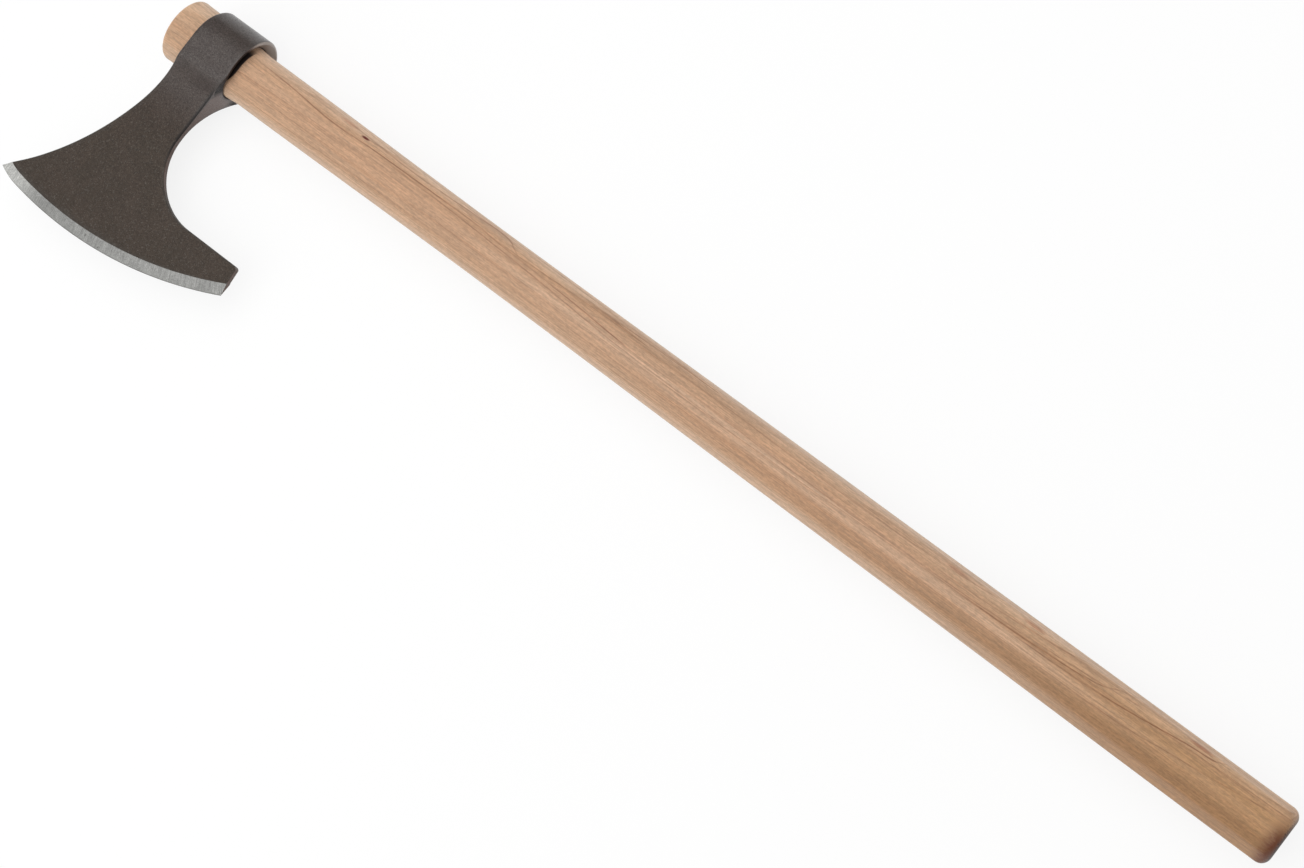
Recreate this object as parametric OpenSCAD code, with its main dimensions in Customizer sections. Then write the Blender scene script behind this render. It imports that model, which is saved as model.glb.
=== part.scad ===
// Hand axe with a bearded head on a slip-fit haft.
// The haft is fed down through the tapered eye from above, and its swollen top wedges there.
// Lengths along the haft count from its top end, and reach counts from the haft's axis.

/* [Haft] */
// Whole length of the haft
haft_l = 762; // [500:1:900]
// Diameter of the swollen top that stands above the head
knob_d = 39.6; // [39.4:0.1:42]
// Rounding of the top end
knob_round = 2; // [1:0.1:6]
// Diameter just below the head
throat_d = 33; // [30:0.1:34]
// Diameter at the slimmest place
waist_d = 30.8; // [27:0.1:33]
// Length from the top end to the slimmest place
waist_x = 240; // [150:5:300]
// Diameter along the middle
middle_d = 32.2; // [28:0.1:34]
// Length from the top end to that diameter
middle_x = 480; // [400:5:560]
// Diameter of the grip near the butt end
grip_d = 33.7; // [30:0.1:34.2]
// Length of the grip's even part
grip_l = 22; // [10:1:60]
// Rounding of the butt end
butt_round = 6; // [1:0.5:8]
// Length from the top end to where the eight soft flats of the grip begin
flat_x = 290; // [200:5:400]
// Depth of those flats at the butt end
flat_depth = 0.9; // [0.3:0.1:1.3]
// Turn of the flats about the haft, from a corner that faces the side of the blade
flat_turn = 7; // [-22:1:22]

/* [Eye] */
// How far the haft stands above the head
stand = 18.4; // [8:0.1:30]
// Height of the eye along the haft
eye_h = 32.7; // [28:0.1:45]
// Outer radius of the eye
eye_r = 23.5; // [22.5:0.1:28]
// Diameter of the tapered bore at the top of the eye
bore_top_d = 39; // [38:0.1:39.2]
// Diameter of the tapered bore at the bottom of the eye
bore_low_d = 34.4; // [34.2:0.1:37]
// Length of the taper that carries the head
seat_l = 17; // [8:0.5:24]
// Gap between haft and bore along the seat
fit_gap = 0.1; // [0.05:0.05:0.3]
// Chamfer at the bore's lower mouth
mouth_cut = 0.5; // [0.3:0.1:1.5]

/* [Side outline of the head] */
// Radius of the upper outline, which sweeps from the neck to the toe
sweep_r = 172.7; // [120:0.5:240]
// Length at which that arc would cross the haft's axis
sweep_x = 11.7; // [2:0.1:15]
// Reach at which the upper outline leaves the flat top of the eye
shoulder_y = 5; // [4:0.5:14]
// Radius that blends the flat top of the eye into the upper outline
shoulder_r = 40; // [10:1:60]
// Length at which the notch under the head is deepest
notch_x = 38.9; // [30:0.1:44]
// Reach of that deepest place
notch_y = 54; // [50:0.5:60]
// Radius of the notch on the beard's side
notch_r = 37.4; // [30:0.1:45]
// Radius of the notch on the neck's side
neck_r = 90; // [70:1:140]
// Radius that blends the neck into the flat bottom of the eye
chin_r = 15; // [5:1:20]
// Length from the haft's top end to the end of the beard
beard_x = 116.5; // [90:0.1:135]
// Lean of the beard's cut end
beard_lean = 3; // [0:0.1:12]
// Rounding of the beard's inner corner
beard_round = 2.5; // [1:0.5:6]

/* [Blade] */
// Reach of the cutting edge where it is furthest from the haft
edge_y = 134.4; // [120:0.1:150]
// Length at which it is furthest
edge_x = 7.5; // [-10:0.1:30]
// Radius of the cutting edge
edge_r = 257.7; // [200:0.5:350]
// Tighter radius of the edge at the toe
toe_r = 45; // [25:1:80]
// Length of the edge, from its furthest place, up to the toe's radius
toe_start = 38.4; // [30:0.1:42]
// Width of the ground bevel
bevel_w = 6.8; // [4:0.1:12]
// Thickness of the blade at the bevel
blade_t = 4.2; // [3:0.1:6]
// Gain of thickness from the bevel to the root of the blade
blade_gain = 0.7; // [0:0.1:1.5]
// Radius of the hollow cheeks between the eye and the blade
cheek_r = 50; // [35:1:60]

/* [Hidden] */
$fn = 180;

haft_color = "#c9a681";
head_color = "#5b534c";

// Levels along the haft
eye_top = stand;
eye_low = stand + eye_h;
seat_low = eye_top + seat_l;
throat_x = eye_low + 4;
grip_x = haft_l - grip_l;

// The bore's radius at any length, and the haft's in its seat
function bore_r(x) = (bore_top_d + (bore_low_d - bore_top_d) * (x - eye_top) / eye_h) / 2;
function seat_r(x) = bore_r(x) - fit_gap;

// How far a cutting shape runs past what it cuts
past = 5;
// How deep an arc bites into the line or arc that it touches, so that the two meet in a clean edge
bite = 0.01;

// Points of an arc around a centre, from one angle to another
function arc(c, r, a0, a1, n) = [for (i = [0:n]) c + r * [cos(a0 + (a1 - a0) * i / n), sin(a0 + (a1 - a0) * i / n)]];
// The point on a circle where the line from p touches it, on the side of the falling angle
function touch(p, c, r) = let (d = norm(p - c), a = atan2(p.y - c.y, p.x - c.x) - acos(r / d)) c + r * [cos(a), sin(a)];
// Where two circles meet, on the left of the line from the first centre to the second
function meet(c1, r1, c2, r2) = let (d = norm(c2 - c1), u = (c2 - c1) / d, a = (r1 * r1 - r2 * r2 + d * d) / (2 * d))
    c1 + a * u + sqrt(r1 * r1 - a * a) * [-u.y, u.x];

// Upper outline: flat over the eye, a blend, a straight run and the long sweep to the toe
sweep_c = [sweep_x - sweep_r, 0];
shoulder = [eye_top, -shoulder_y];
sweep_from = touch(shoulder, sweep_c, sweep_r);
rise = (sweep_from - shoulder) / norm(sweep_from - shoulder);
shoulder_cut = shoulder_r * tan(atan2(-rise.x, -rise.y) / 2);
shoulder_c = [eye_top - shoulder_r, -shoulder_y + shoulder_cut];
sweep_end = sweep_c + sweep_r * [cos(60), -sin(60)];

// Lower outline: flat under the eye, the neck's arc, the notch's arc and the straight beard
neck_c = [notch_x + neck_r, -notch_y];
notch_c = [notch_x + notch_r, -notch_y];
beard_y = notch_y + notch_r;
chin_c = [eye_low - chin_r, -notch_y + sqrt(pow(neck_r + chin_r, 2) - pow(neck_c.x - eye_low + chin_r, 2))];
chin_low = neck_c + (chin_c - neck_c) * neck_r / (neck_r + chin_r);
beard_c = [beard_x + beard_round * (tan(beard_lean) - 1 / cos(beard_lean)), -beard_y - beard_round];
beard_low = beard_c + beard_round * [cos(beard_lean), sin(beard_lean)];

// Cutting edge and the tighter arc at its toe, which touches it from inside
edge_c = [edge_x, edge_r - edge_y];
toe_turn = asin(toe_start / edge_r);
toe_c = edge_c + (edge_r - toe_r) * [-sin(toe_turn), -cos(toe_turn)];
toe = meet(toe_c, toe_r, sweep_c, sweep_r);
bevel_slope = blade_t / 2 / bevel_w;

// Cheeks: half the blade's thickness falls steadily with reach, and an arc leads up to the eye
cheek_fall = blade_gain / 2 / (edge_y - bevel_w);
cheek_0 = (blade_t + blade_gain) / 2;
cheek_turn = atan(cheek_fall);
cheek_a = cheek_0 + cheek_r / cos(cheek_turn);
cheek_y = (cheek_a * cheek_fall + sqrt(pow(cheek_a * cheek_fall, 2)
    - (1 + cheek_fall * cheek_fall) * (cheek_a * cheek_a - pow(eye_r + cheek_r, 2)))) / (1 + cheek_fall * cheek_fall);
cheek_c = [cheek_y, cheek_a - cheek_fall * cheek_y];
cheek_eye = cheek_c * eye_r / (eye_r + cheek_r);
cheek_low = cheek_c - cheek_r * [sin(cheek_turn), cos(cheek_turn)];
cheek_end = edge_y + past;

// The part lies on the eye's side, with its origin under the middle of its box
middle = [(toe.x + haft_l) / 2, (eye_r - edge_y) / 2, -eye_r];

// How far the flats' planes stand clear of the waist where they begin
flat_start = 0.25;

// The haft's outline below the head: smooth steps between the named diameters
station_x = [throat_x, waist_x, middle_x, grip_x];
station_d = [throat_d, waist_d, middle_d, grip_d];
shaft_steps = 9;
function ease(t) = t * t * (3 - 2 * t);
shaft = [for (i = [0:2], k = [1:shaft_steps]) let (t = k / shaft_steps)
    [(station_d[i] + (station_d[i + 1] - station_d[i]) * ease(t)) / 2,
     station_x[i] + (station_x[i + 1] - station_x[i]) * t]];

module haft_outline() {
    polygon(concat(
        [[0, 0]],
        arc([knob_d / 2 - knob_round, knob_round], knob_round, -90, 0, 8),
        [[seat_r(eye_top), eye_top],
         [seat_r(seat_low), seat_low],
         [throat_d / 2, throat_x]],
        shaft,
        arc([grip_d / 2 - butt_round, haft_l - butt_round], butt_round, 0, 90, 8),
        [[0, haft_l]]));
}

// Blocks that shave the eight soft flats, which start clear of the waist and deepen towards the butt end
module flats() {
    begin_r = waist_d / 2 + flat_start;
    end_r = grip_d / 2 - flat_depth;
    lean = atan((end_r - begin_r) / (haft_l - flat_x));
    for (k = [0:7]) {
        rotate(45 * (k + 0.5) - flat_turn)
        translate([begin_r, -knob_d / 2, flat_x])
        rotate([0, lean, 0]) cube([knob_d, knob_d, haft_l]);
    }
}

module haft() {
    color(haft_color)
    translate(-middle)
    rotate([0, 90, 0])
    difference() {
        rotate_extrude() haft_outline();
        flats();
    }
}

// The part of a disc around c that rounds a convex corner, a little wider than the two points it touches
module rounded_corner(c, r, from, to) {
    spread = 0.5;
    intersection() {
        translate(c) circle(r + bite);
        polygon([
            c,
            c + 2 * (from - c) + spread * (from - to),
            c + 2 * (to - c) + spread * (to - from)]);
    }
}

module side_outline() {
    difference() {
        union() {
            polygon([
                [eye_top, eye_r + past],
                [eye_top, shoulder_c.y],
                shoulder + rise * shoulder_cut,
                sweep_from,
                sweep_end,
                [beard_x + (cheek_end - beard_y) * tan(beard_lean), -cheek_end],
                beard_low,
                [beard_c.x, -beard_y],
                [notch_c.x, -beard_y],
                [notch_x, -notch_y],
                chin_low,
                [eye_low, chin_c.y],
                [eye_low, eye_r + past]]);
            rounded_corner(beard_c, beard_round, beard_low, [beard_c.x, -beard_y]);
            rounded_corner(chin_c, chin_r, chin_low, [eye_low, chin_c.y]);
        }
        translate(shoulder_c) circle(shoulder_r + bite);
        translate(sweep_c) circle(sweep_r + bite);
        translate(notch_c) circle(notch_r + 2 * bite);
        intersection() {
            translate(neck_c) circle(neck_r + bite);
            translate([notch_x - past, -notch_y]) square([neck_r, notch_y + eye_r]);
        }
    }
}

// Half of the neck and blade as seen along the haft, up to the cheek on one side
module neck_outline() {
    polygon([
        [0, 0],
        cheek_eye,
        cheek_low,
        [cheek_end, cheek_0 - cheek_fall * cheek_end],
        [cheek_end, 0]]);
}

// The eye's barrel with the neck and blade, as one length along the haft
module barrel(low, high) {
    translate([low, 0, 0])
    rotate([0, 90, 0])
    difference() {
        union() {
            cylinder(h = high - low, r = eye_r);
            linear_extrude(high - low) rotate(-90) {
                neck_outline();
                mirror([0, 1]) neck_outline();
            }
        }
        for (side = [-1, 1]) {
            translate([side * cheek_c.y, -cheek_c.x, -past]) cylinder(h = high - low + 2 * past, r = cheek_r + bite);
        }
    }
}

// Two cones base to base: their rim is the cutting edge, and their flanks are the ground bevel
module ground(c, r) {
    for (side = [0, 1]) {
        translate([c.x, c.y, 0]) mirror([0, 0, side]) cylinder(h = r * bevel_slope, r1 = r, r2 = 0);
    }
}

// Everything on the heel's side of the line where the toe's arc touches the edge's
module heel_side() {
    turn = [-sin(toe_turn), -cos(toe_turn)];
    translate([0, 0, -2 * eye_r])
    linear_extrude(4 * eye_r)
    polygon([
        edge_c + turn * (edge_r + past),
        edge_c + turn * (edge_r + past) + [2 * edge_r, 0],
        edge_c + [2 * edge_r, 0],
        edge_c]);
}

// The tapered bore, and the cone that cuts its lower mouth at 45 degrees
module bore() {
    mouth_r = bore_r(eye_low - mouth_cut) + mouth_cut;
    rotate([0, 90, 0]) {
        translate([0, 0, -past]) cylinder(h = eye_low + 2 * past, r1 = bore_r(-past), r2 = bore_r(eye_low + past));
        translate([0, 0, eye_low - past]) cylinder(h = 2 * past, r1 = mouth_r - past, r2 = mouth_r + past);
    }
}

module axe_head() {
    color(head_color)
    translate(-middle)
    difference() {
        intersection() {
            translate([0, 0, -2 * eye_r]) linear_extrude(4 * eye_r) side_outline();
            barrel(toe.x - past, beard_x + 4 * past);
            ground(edge_c, edge_r);
            union() {
                ground(toe_c, toe_r + bite);
                heel_side();
            }
        }
        bore();
    }
}

haft();
axe_head();
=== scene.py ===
from math import acos, asin, atan, atan2, cos, degrees, exp, hypot, log, pi, radians, sin, sqrt, tan

import bmesh
import bpy
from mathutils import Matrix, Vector


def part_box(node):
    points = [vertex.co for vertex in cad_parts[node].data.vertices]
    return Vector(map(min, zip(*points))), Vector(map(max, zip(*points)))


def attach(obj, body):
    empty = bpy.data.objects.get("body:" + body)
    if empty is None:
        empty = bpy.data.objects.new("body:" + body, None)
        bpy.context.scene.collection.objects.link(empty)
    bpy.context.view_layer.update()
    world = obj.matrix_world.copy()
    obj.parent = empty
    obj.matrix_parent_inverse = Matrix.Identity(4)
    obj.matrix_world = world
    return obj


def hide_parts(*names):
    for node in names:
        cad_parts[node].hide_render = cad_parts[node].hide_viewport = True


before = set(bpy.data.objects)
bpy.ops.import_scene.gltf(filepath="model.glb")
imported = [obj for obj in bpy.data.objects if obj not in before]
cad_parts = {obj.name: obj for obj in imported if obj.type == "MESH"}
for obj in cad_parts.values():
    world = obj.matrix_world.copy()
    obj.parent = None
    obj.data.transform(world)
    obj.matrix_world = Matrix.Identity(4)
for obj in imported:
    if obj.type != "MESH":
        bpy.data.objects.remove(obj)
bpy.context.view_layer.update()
print("frame loaded")

# The haft's own place: its top end, and the line of its axis
haftLow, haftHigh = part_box("haft")
topX = haftLow.x
axisY = (haftLow.y + haftHigh.y) / 2
axisZ = (haftLow.z + haftHigh.z) / 2


# A point given in millimetres: along the haft from its top end, towards the poll, and across the cheeks
def at(along, up=0.0, across=0.0):
    return Vector((topX + along / 1000, axisY + up / 1000, axisZ + across / 1000))


# Small tools for working as by hand
def objectMode():
    if bpy.context.mode != "OBJECT":
        bpy.ops.object.mode_set(mode="OBJECT")


def deselectAll():
    objectMode()
    bpy.ops.object.select_all(action="DESELECT")


def activate(obj):
    deselectAll()
    obj.select_set(True)
    bpy.context.view_layer.objects.active = obj


def editMode(obj):
    activate(obj)
    bpy.ops.object.mode_set(mode="EDIT")
    bpy.ops.mesh.select_mode(type="VERT")
    bpy.ops.mesh.select_all(action="SELECT")


def applyPlace(obj):
    activate(obj)
    bpy.ops.object.transform_apply(location=True, rotation=True, scale=True)


def faceOutwards():
    bpy.ops.mesh.select_all(action="SELECT")
    bpy.ops.mesh.normals_make_consistent(inside=False)


# Lays a grid primitive over a form, which gives the place for each column and row
def layGrid(name, columns, rows, form):
    deselectAll()
    bpy.ops.mesh.primitive_grid_add(x_subdivisions=columns, y_subdivisions=rows, size=2)
    obj = bpy.context.object
    obj.name = name
    for v in obj.data.vertices:
        v.co = form(round((v.co.x + 1) * columns / 2), round((v.co.y + 1) * rows / 2))
    return obj


def joinInto(first, others, mergeWithin=4e-6):
    activate(first)
    for other in others:
        other.select_set(True)
    bpy.ops.object.join()
    applyPlace(first)
    editMode(first)
    bpy.ops.mesh.remove_doubles(threshold=mergeWithin)
    faceOutwards()
    objectMode()


# The axe head, in millimetres: along the haft from its top end, and reach from its axis towards the edge
head = {
    "eyeTop": 18.4, "eyeHeight": 32.7, "eyeRadius": 23.5, "boreTop": 39.0, "boreLow": 34.4,
    "sweepRadius": 172.7, "sweepAt": 11.7, "shoulderReach": 5.0, "shoulderRadius": 40.0,
    "notchAt": 38.9, "notchReach": 54.0, "notchRadius": 37.4, "neckRadius": 90.0, "chinRadius": 15.0,
    "beardEnd": 116.5, "beardLean": 3.0, "beardRound": 2.5,
    "edgeReach": 134.4, "edgeAt": 7.5, "edgeRadius": 257.7, "toeRadius": 45.0, "toeStart": 38.4,
    "bevelWidth": 6.8, "bladeThick": 4.2, "bladeGain": 0.7, "cheekRadius": 50.0,
    # Roundings: the rim's is wide only near the poll, from this reach on and over this length
    "rimRound": 1.5, "rimFrom": -12.0, "rimFade": 11.0, "cornerRound": 0.6,
    "mouthRound": 0.3, "mouthDepth": 4.0, "mouthWide": 21.7,
    # Mesh: rows across the section, columns along the outline, and how they are spaced
    "pollRows": 64, "cheekRows": 40, "flatRow": 52.6, "bladeRows": 34, "bevelRows": 6,
    "eyeColumns": 18, "notchColumns": 40, "beardColumns": 24, "wallColumns": 8, "endColumns": 14,
    "edgeLength": 171.0, "toeSlant": 1.2, "neckShare": 0.40, "rowCrowd": 0.25, "roundFade": 8,
    "smoothBelow": 32,
}


def point(along, reach):
    return Vector((along, reach))


def polar(centre, radius, angle):
    return centre + radius * point(cos(radians(angle)), sin(radians(angle)))


def angleOf(centre, p):
    return degrees(atan2(p.y - centre.y, p.x - centre.x))


def ease(t):
    t = min(1, max(0, t))
    return t * t * (3 - 2 * t)


axisPoint = point(0, 0)

# Side outline: arcs and lines that touch each other
eyeLow = head["eyeTop"] + head["eyeHeight"]
sweepCentre = point(head["sweepAt"] - head["sweepRadius"], 0)
shoulder = point(head["eyeTop"], head["shoulderReach"])
touching = angleOf(sweepCentre, shoulder) + degrees(
    acos(head["sweepRadius"] / (shoulder - sweepCentre).length))
sweepFrom = polar(sweepCentre, head["sweepRadius"], touching)
rise = (sweepFrom - shoulder).normalized()
shoulderCut = head["shoulderRadius"] * tan(atan2(-rise.x, rise.y) / 2)
shoulderCentre = point(head["eyeTop"] - head["shoulderRadius"], head["shoulderReach"] - shoulderCut)
shoulderEnd = shoulder + rise * shoulderCut
notchCentre = point(head["notchAt"] + head["notchRadius"], head["notchReach"])
neckCentre = point(head["notchAt"] + head["neckRadius"], head["notchReach"])
chinAway = head["neckRadius"] + head["chinRadius"]
chinCentre = point(eyeLow - head["chinRadius"], 0)
chinCentre.y = head["notchReach"] - sqrt(chinAway ** 2 - (neckCentre.x - chinCentre.x) ** 2)
chinLow = neckCentre + (chinCentre - neckCentre) * head["neckRadius"] / chinAway
beardReach = head["notchReach"] + head["notchRadius"]
lean = radians(head["beardLean"])
cornerIn = head["beardRound"] * (tan(lean) - 1 / cos(lean))
cornerCentre = point(head["beardEnd"] + cornerIn, beardReach + head["beardRound"])
endNormal = point(cos(lean), -sin(lean))

# Cutting edge, with the tighter arc at the toe
edgeCentre = point(head["edgeAt"], head["edgeReach"] - head["edgeRadius"])
toeTurn = degrees(asin(head["toeStart"] / head["edgeRadius"]))
toeCentre = polar(edgeCentre, head["edgeRadius"] - head["toeRadius"], 90 + toeTurn)
bevelSlope = head["bladeThick"] / 2 / head["bevelWidth"]

# Section across the haft: the cheek's arc touches the round eye and the blade's slightly tapered side
cheekFall = head["bladeGain"] / 2 / (head["edgeReach"] - head["bevelWidth"])
cheekAtAxis = (head["bladeThick"] + head["bladeGain"]) / 2
cheekTurn = atan(cheekFall)
liftedAtAxis = cheekAtAxis + head["cheekRadius"] / cos(cheekTurn)
fallSquare = 1 + cheekFall ** 2
cheekReach = (liftedAtAxis * cheekFall + sqrt((liftedAtAxis * cheekFall) ** 2 - fallSquare * (
    liftedAtAxis ** 2 - (head["eyeRadius"] + head["cheekRadius"]) ** 2))) / fallSquare
cheekCentre = point(cheekReach, liftedAtAxis - cheekFall * cheekReach)
cheekFrom = cheekCentre * head["eyeRadius"] / (head["eyeRadius"] + head["cheekRadius"])


def topOutline(reach):
    if reach <= shoulderCentre.y:
        return head["eyeTop"]
    if reach <= shoulderEnd.y:
        return shoulderCentre.x + sqrt(head["shoulderRadius"] ** 2 - (reach - shoulderCentre.y) ** 2)
    if reach <= sweepFrom.y:
        return shoulderEnd.x + rise.x / rise.y * (reach - shoulderEnd.y)
    return sweepCentre.x + sqrt(head["sweepRadius"] ** 2 - reach ** 2)


def lowOutline(reach):
    if reach <= chinCentre.y:
        return eyeLow
    if reach <= chinLow.y:
        return chinCentre.x + sqrt(head["chinRadius"] ** 2 - (reach - chinCentre.y) ** 2)
    return neckCentre.x - sqrt(head["neckRadius"] ** 2 - (reach - neckCentre.y) ** 2)


# How much longer a step along the haft is than the same step square to the outline
def stretch(outline, reach, step=0.05):
    slope = (outline(reach + step) - outline(reach - step)) / (2 * step)
    return sqrt(1 + slope * slope)


def cheekHeight(reach):
    return cheekAtAxis - cheekFall * reach


def rimRound(reach):
    nearPoll = ease((head["rimFrom"] - reach) / head["rimFade"])
    return head["cornerRound"] + (head["rimRound"] - head["cornerRound"]) * nearPoll


# Rows of the section from the poll to the notch, each with its place and the way out of the surface
def sectionRows():
    rows = []
    eyeTurn = 180 - angleOf(axisPoint, cheekFrom)
    for k in range(head["pollRows"] + 1):
        out = polar(axisPoint, 1, 180 - eyeTurn * k / head["pollRows"])
        rows.append((out * head["eyeRadius"], out))
    start, end = angleOf(cheekCentre, cheekFrom), -90 - degrees(cheekTurn)
    for k in range(1, head["cheekRows"] + 1):
        out = polar(axisPoint, 1, start + (end - start) * k / head["cheekRows"])
        rows.append((cheekCentre + out * head["cheekRadius"], -out))
    for reach in (head["flatRow"], head["notchReach"]):
        rows.append((point(reach, cheekHeight(reach)), point(sin(cheekTurn), cos(cheekTurn))))
    return rows


section = sectionRows()
# A quarter round in steps: how far in along the surface, and how far down from it
soft = [(1 - cos(radians(a)), 1 - sin(radians(a))) for a in range(0, 91, 15)]

# Last rows and columns of the grids, and the row at which the eye's ring turns into the neck
lastRow = len(section) - 1
softLast = len(soft) - 1
neckLast = 2 * softLast + head["eyeColumns"]
notchLast = neckLast + head["notchColumns"]
beardLast = notchLast + head["beardColumns"]
spokeLast = beardLast + softLast
bladeLast = head["bladeRows"] + head["bevelRows"]
ringRow = next(k for k, (p, out) in enumerate(section) if p.x > head["eyeRadius"])
ringLast = 2 * ringRow + head["wallColumns"]
neckWall = lastRow - ringRow


# A point of eye or neck: columns go along the haft, and the first and last ones round its rims
def neckPoint(column, row):
    place, out = section[row]
    width = rimRound(place.x)
    inFromTop = soft[min(column, softLast)]
    inFromLow = soft[min(neckLast - column, softLast)]
    down = max(inFromTop[1], inFromLow[1]) * width
    p = place - out * down
    high = topOutline(p.x) + inFromTop[0] * width * stretch(topOutline, p.x)
    low = lowOutline(p.x) - inFromLow[0] * width * stretch(lowOutline, p.x)
    if column <= softLast:
        along = high
    elif neckLast - column <= softLast:
        along = low
    else:
        along = high + (low - high) * (column - softLast) / head["eyeColumns"]
    return Vector((along, p.x, p.y))


# How far a point of the blade lies inside the sweep, the notch, the beard and the beard's end
def outlineDistance(p):
    found = [(p - sweepCentre).length - head["sweepRadius"]]
    found.append((cornerCentre - p).dot(endNormal) + head["beardRound"])
    if p.x < notchCentre.x:
        found.append((p - notchCentre).length - head["notchRadius"])
    elif p.x > cornerCentre.x and (p - cornerCentre).dot(endNormal.orthogonal()) > 0 and p.y < cornerCentre.y:
        found.append(head["beardRound"] - (p - cornerCentre).length)
    else:
        found.append(p.y - beardReach)
    return max(0, min(found))


# The line at a distance inside the cutting edge, from the sweep to the beard's end
def alongEdge(inwards, share):
    toeRadius, edgeRadius = head["toeRadius"] - inwards, head["edgeRadius"] - inwards
    gap = sweepCentre - toeCentre
    a = (toeRadius ** 2 - head["sweepRadius"] ** 2 + gap.length_squared) / (2 * gap.length)
    unit = gap.normalized()
    start = toeCentre + unit * a + point(-unit.y, unit.x) * -sqrt(toeRadius ** 2 - a * a)
    toeFrom = angleOf(toeCentre, start)
    reach = (cornerCentre - edgeCentre).dot(endNormal) + head["beardRound"]
    edgeTo = degrees(acos(reach / edgeRadius)) - head["beardLean"]
    toeLength = radians(toeFrom - 90 - toeTurn) * toeRadius
    edgeLength = radians(90 + toeTurn - edgeTo) * edgeRadius
    gone = share * (toeLength + edgeLength)
    if gone < toeLength:
        return polar(toeCentre, toeRadius, toeFrom - degrees(gone / toeRadius))
    return polar(edgeCentre, edgeRadius, 90 + toeTurn - degrees((gone - toeLength) / edgeRadius))


# Where the ground bevel begins: there its depth is the cheek's
def bevelInwards(share):
    inwards = head["bevelWidth"]
    for k in range(3):
        inwards = cheekHeight(alongEdge(inwards, share).y) / bevelSlope
    return inwards


# The inner boundary of the blade: the neck, the notch and the beard, to the middle of its corner
def innerPoint(column):
    if column <= neckLast:
        p = neckPoint(column, lastRow)
        return point(p.x, p.y)
    if column <= notchLast:
        return polar(notchCentre, head["notchRadius"], 180 - 90 * (column - neckLast) / head["notchColumns"])
    if column <= beardLast:
        share = (column - notchLast) / head["beardColumns"]
        return point(notchCentre.x, beardReach).lerp(point(cornerCentre.x, beardReach), share)
    turn = (90 - head["beardLean"]) / 2 * (column - beardLast) / softLast
    return polar(cornerCentre, head["beardRound"], turn - 90)


# Shares of the edge's length at which the blade's columns arrive; the edge meets the sweep at a slant
def spokeShare(column):
    band = head["cornerRound"] / head["edgeLength"]
    toeBand = head["toeSlant"] * band
    if column <= softLast:
        return soft[column][0] * toeBand
    if column >= spokeLast - softLast:
        return 1 - soft[spokeLast - column][0] * band
    inner = spokeLast - 2 * softLast
    middle, neckPart = (column - softLast) / inner, (neckLast - softLast) / inner
    if middle < neckPart:
        bent = head["neckShare"] * middle / neckPart
    else:
        bent = head["neckShare"] + (1 - head["neckShare"]) * (middle - neckPart) / (1 - neckPart)
    return toeBand + (1 - toeBand - band) * bent


# A point of the blade in plan: rows go from the notch's side to the bevel, and on over the bevel to the edge
def bladePlan(column, row):
    share = spokeShare(column)
    if row > head["bladeRows"]:
        inwards = bevelInwards(share) * (1 - (row - head["bladeRows"]) / head["bevelRows"])
        return alongEdge(inwards, share), inwards
    inner, outer = innerPoint(column), alongEdge(bevelInwards(share), share)
    first = head["cornerRound"] / (outer - inner).length
    if row <= softLast:
        t = soft[row][0] * first
    else:
        k = (row - softLast) / (head["bladeRows"] - softLast)
        t = first + (1 - first) * (head["rowCrowd"] * k * k + (1 - head["rowCrowd"]) * k)
    p = inner.lerp(outer, t)
    # The first columns follow the sweep
    nearSweep = 1 - ease((column - softLast) / (neckLast - softLast))
    if nearSweep > 0:
        innerTop, outerTop = innerPoint(0), alongEdge(bevelInwards(0), 0)
        a0, a1 = angleOf(sweepCentre, innerTop), angleOf(sweepCentre, outerTop)
        onSweep = polar(sweepCentre, head["sweepRadius"], a0 + (a1 - a0) * t)
        p += nearSweep * (onSweep - innerTop.lerp(outerTop, t))
    # The last columns follow the beard's rounded corner and its end
    nearEnd = 1 - ease((beardLast - column) / head["endColumns"])
    if nearEnd > 0:
        innerEnd, outerEnd = innerPoint(spokeLast), alongEdge(bevelInwards(1), 1)
        p += nearEnd * (beardEndPoint(t, innerEnd, outerEnd) - innerEnd.lerp(outerEnd, t))
    return p, None


def beardEndPoint(t, innerEnd, outerEnd):
    length = (outerEnd - innerEnd).length
    arc = radians((90 - head["beardLean"]) / 2) * head["beardRound"]
    gone = t * length
    if gone < arc:
        turn = (-90 - head["beardLean"]) / 2 + degrees(gone / head["beardRound"])
        return polar(cornerCentre, head["beardRound"], turn)
    onEnd = cornerCentre + endNormal * head["beardRound"]
    return onEnd.lerp(outerEnd, (gone - arc) / (length - arc))


# The same point with its height: on the bevel, or on the cheek, which rounds down to the outline
def bladePoint(column, row):
    if row == 0 and column <= neckLast:
        return neckPoint(column, lastRow)
    p, inwards = bladePlan(column, row)
    if inwards is not None:
        return Vector((p.x, p.y, inwards * bevelSlope))
    fromBevel = (head["bladeRows"] - row) / head["bladeRows"]
    width = head["cornerRound"] * ease(fromBevel * head["roundFade"])
    inside = outlineDistance(p)
    drop = width - sqrt(max(0, width ** 2 - (width - inside) ** 2)) if inside < width else 0
    return Vector((p.x, p.y, cheekHeight(p.y) - drop))


def onHead(p, side=1):
    return at(p.x, -p.y, side * p.z)


# Points along the walls of the outline, from the ring round the eye to the cutting edge
def topWall(k):
    if k <= neckWall:
        return neckPoint(0, ringRow + k)
    return bladePoint(0, k - neckWall)


def lowWall(k):
    if k <= neckWall:
        return neckPoint(neckLast, ringRow + k)
    column = neckLast + k - neckWall
    return bladePoint(min(column, spokeLast), max(0, column - spokeLast))


def acrossWall(p, k):
    return onHead(Vector((p.x, p.y, p.z * (1 - 2 * k / head["wallColumns"]))))


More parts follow.
